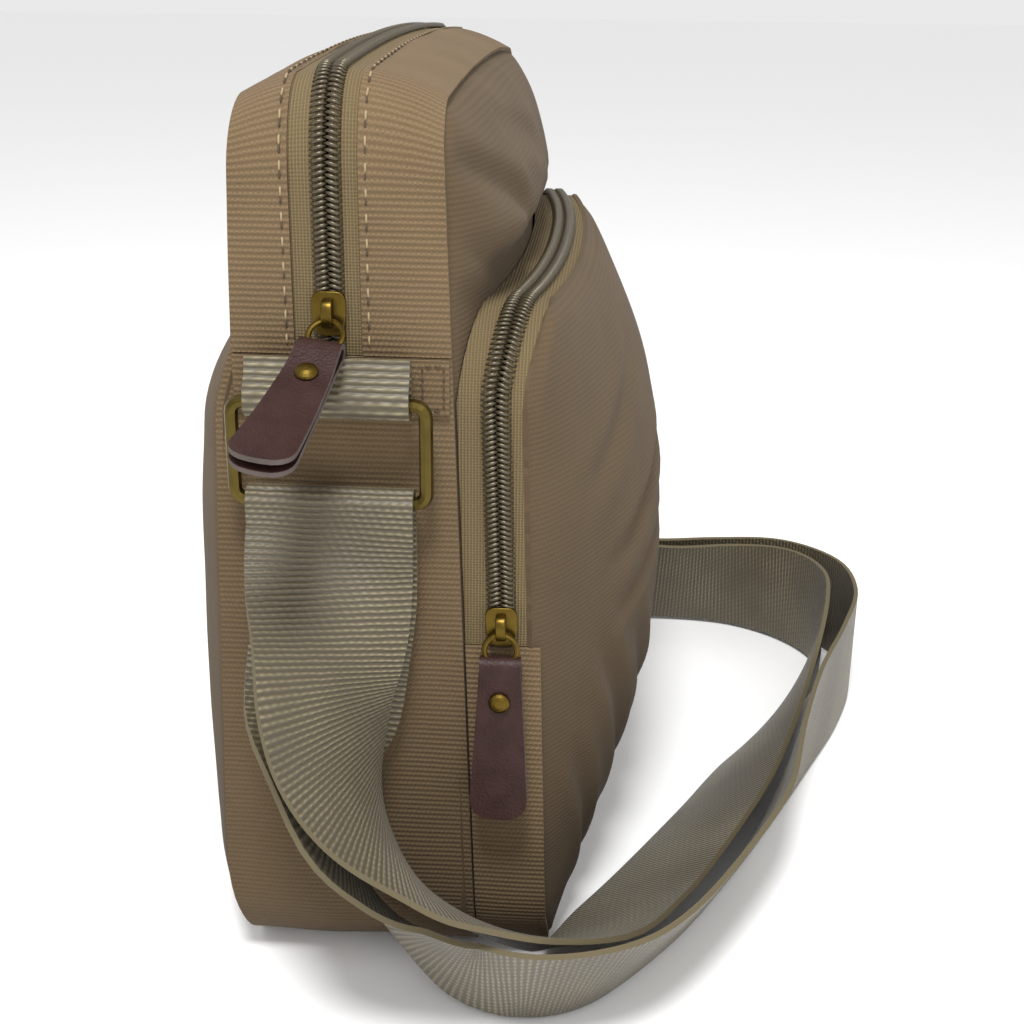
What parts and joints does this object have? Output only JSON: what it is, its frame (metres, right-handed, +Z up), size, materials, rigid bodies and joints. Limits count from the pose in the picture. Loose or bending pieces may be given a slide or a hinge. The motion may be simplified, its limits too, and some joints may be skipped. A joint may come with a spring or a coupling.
{
  "type": "messenger bag",
  "caption": "Compact upright canvas messenger bag with zipped main compartment, zipped front and back pockets, leather zip pulls and an adjustable webbing shoulder strap.",
  "frame": {"origin": "middle of the flat base", "axes": "+X along the width, -Y towards the front pocket, +Z up"},
  "size_m": [0.281, 0.1931, 0.2302],
  "materials": {
    "canvas": "ribbed cotton canvas",
    "lining": "plain lining cloth",
    "zip_tape": "woven tape",
    "zip_coil": "metallic bronze coil",
    "leather": "grained leather with raw edges",
    "zip_brass": "antique brass",
    "strap_brass": "antique brass wire",
    "webbing": "ribbed webbing"
  },
  "bodies": {
    "bag": {"adjuster": "strap_brass", "back_coil_lower": "zip_coil", "back_coil_upper": "zip_coil", "back_panel_lower": "canvas", "back_panel_upper": "canvas", "back_pouch": "lining", "back_tape_lower": "zip_tape", "back_tape_upper": "zip_tape", "front_panel_lower": "canvas", "gusset": "canvas", "lining_back": "lining", "lining_front": "lining", "lining_gusset": "lining", "pocket_coil_inner": "zip_coil", "pocket_coil_outer_end": "zip_coil", "pocket_front_lower": "canvas", "pocket_gusset": "canvas", "pocket_tape_inner": "zip_tape", "strap_long_run": "webbing", "strap_return_run": "webbing", "tab_far": "webbing", "tab_near": "webbing", "tab_patch_far": "canvas", "tab_patch_near": "canvas", "zip_coil_front_end": "zip_coil", "zip_coil_rear": "zip_coil", "zip_strip_rear": "canvas", "zip_tape_rear": "zip_tape"},
    "mouth_flap": {"front_panel_upper": "canvas", "zip_strip_front": "canvas", "zip_tape_front": "zip_tape", "zip_coil_front": "zip_coil"},
    "pocket_flap": {"pocket_front_upper": "canvas", "pocket_tape_outer": "zip_tape", "pocket_coil_outer": "zip_coil"},
    "main_slider": {"main_slider": "zip_brass"},
    "main_ring": {"main_pull_ring": "zip_brass"},
    "main_leather": {"main_pull_leather": "leather", "main_pull_rivet": "zip_brass"},
    "pocket_slider": {"pocket_slider": "zip_brass"},
    "pocket_ring": {"pocket_pull_ring": "zip_brass"},
    "pocket_leather": {"pocket_pull_leather": "leather", "pocket_pull_rivet": "zip_brass"},
    "back_slider": {"back_slider": "zip_brass"},
    "back_ring": {"back_pull_ring": "zip_brass"},
    "back_leather": {"back_pull_leather": "leather", "back_pull_rivet": "zip_brass"},
    "near_ring": {"ring_near": "strap_brass", "strap_turn_near": "webbing"},
    "far_ring": {"ring_far": "strap_brass", "strap_turn_far": "webbing"}
  },
  "joints": [
    {"name": "mouth_open", "type": "hinge", "parent": "bag", "child": "mouth_flap", "pos_m": [0, -0.0408, 0.176], "axis": [1, 0, 0], "range_deg": [0, 40]},
    {"name": "pocket_open", "type": "hinge", "parent": "bag", "child": "pocket_flap", "pos_m": [0, -0.0768, 0.095], "axis": [1, 0, 0], "range_deg": [0, 35]},
    {"name": "main_zip_run", "type": "slide", "parent": "bag", "child": "main_slider", "axis": [0, 0, 1], "range_m": [0, 0.018]},
    {"name": "main_ring_swing", "type": "hinge", "parent": "main_slider", "child": "main_ring", "pos_m": [-0.1084, 0.002, 0.1748], "axis": [0, 1, 0], "range_deg": [0, 70]},
    {"name": "main_pull_swing", "type": "hinge", "parent": "main_ring", "child": "main_leather", "pos_m": [-0.11397, 0.00268, 0.16942], "axis": [0.1249, 0.9848, 0.1206], "range_deg": [0, 24]},
    {"name": "pocket_zip_run", "type": "slide", "parent": "bag", "child": "pocket_slider", "axis": [0, 0.0338, 0.9994], "range_m": [0, 0.044]},
    {"name": "pocket_ring_swing", "type": "hinge", "parent": "pocket_slider", "child": "pocket_ring", "pos_m": [-0.1067, -0.03653, 0.0998], "axis": [0, 1, 0], "range_deg": [0, 110]},
    {"name": "pocket_pull_swing", "type": "hinge", "parent": "pocket_ring", "child": "pocket_leather", "pos_m": [-0.10765, -0.03653, 0.09206], "axis": [0, 1, 0], "range_deg": [0, 24]},
    {"name": "back_zip_run", "type": "hinge", "parent": "bag", "child": "back_slider", "pos_m": [0, -0.82756, 0.182], "axis": [0, 0, 1], "range_deg": [0, 11.5]},
    {"name": "back_ring_swing", "type": "hinge", "parent": "back_slider", "child": "back_ring", "pos_m": [0.08715, 0.0284, 0.18234], "axis": [0.0102, 0.099, -0.995], "range_deg": [0, 20]},
    {"name": "back_pull_swing", "type": "hinge", "parent": "back_ring", "child": "back_leather", "pos_m": [0.08448, 0.03157, 0.17871], "axis": [0.9947, -0.1028, 0], "range_deg": [0, 24]},
    {"name": "near_ring_swing", "type": "hinge", "parent": "bag", "child": "near_ring", "pos_m": [-0.1114, 0.002, 0.157], "axis": [0, 1, 0], "range_deg": [0, 75], "deforming": ["strap_return_run", "strap_long_run"]},
    {"name": "far_ring_swing", "type": "hinge", "parent": "bag", "child": "far_ring", "pos_m": [0.1114, 0.002, 0.157], "axis": [0, -1, 0], "range_deg": [0, 100], "deforming": ["strap_long_run"]}
  ]
}
